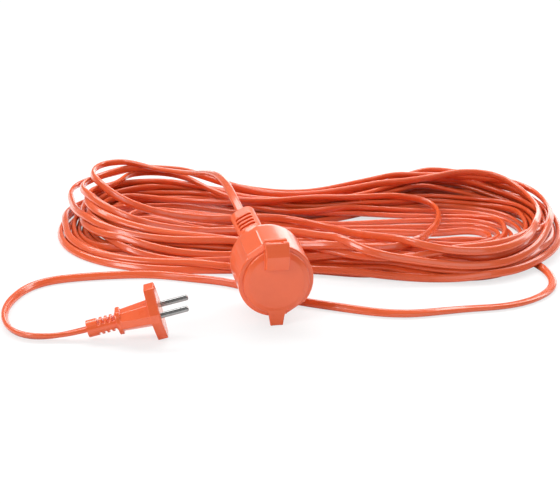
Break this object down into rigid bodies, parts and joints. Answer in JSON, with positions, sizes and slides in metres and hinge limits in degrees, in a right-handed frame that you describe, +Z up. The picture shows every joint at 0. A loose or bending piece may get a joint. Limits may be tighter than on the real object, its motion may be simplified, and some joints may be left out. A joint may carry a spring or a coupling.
{
  "type": "extension cord",
  "caption": "Extension lead: round trailing socket with a hinged lid, two-pin moulded plug and a flat two-core cord wound into a waisted hank.",
  "frame": {"origin": "under the middle of the socket, on the floor", "axes": "+Z up; -Y is the way the socket's lid faces, along the socket's axis; +X to the right when looking at the lid"},
  "size_m": [0.4318, 0.2897, 0.0659],
  "materials": {
    "orange_moulding": "satin",
    "orange_rubber": "satin",
    "orange_bridge": "satin",
    "orange_sheath": "satin",
    "dark_insert": "matt",
    "brass": "plain",
    "plated_pin": "bright",
    "steel": "plain",
    "brown_core": "plain",
    "blue_core": "plain"
  },
  "bodies": {
    "lead": {"socket_housing": "orange_moulding", "socket_face": "dark_insert", "socket_contact_live": "brass", "socket_contact_neutral": "brass", "socket_crimp_live": "brass", "socket_crimp_neutral": "brass", "socket_core_live": "brown_core", "socket_core_neutral": "blue_core", "socket_strain_relief": "orange_rubber", "hinge_pin": "steel", "plug_body": "orange_rubber", "plug_bridge": "orange_bridge", "plug_pin_live": "plated_pin", "plug_pin_neutral": "plated_pin", "plug_crimp_live": "brass", "plug_crimp_neutral": "brass", "plug_core_live": "brown_core", "plug_core_neutral": "blue_core", "plug_strain_relief": "orange_rubber", "cord_plug_side": "orange_sheath", "cord_hank": "orange_sheath", "cord_socket_side": "orange_sheath"},
    "lid": {"lid": "orange_moulding"}
  },
  "joints": [
    {"name": "lid_hinge", "type": "hinge", "parent": "lead", "child": "lid", "pos_m": [0, -0.0246, 0.0582], "axis": [-1, 0, 0], "range_deg": [0, 105]}
  ]
}
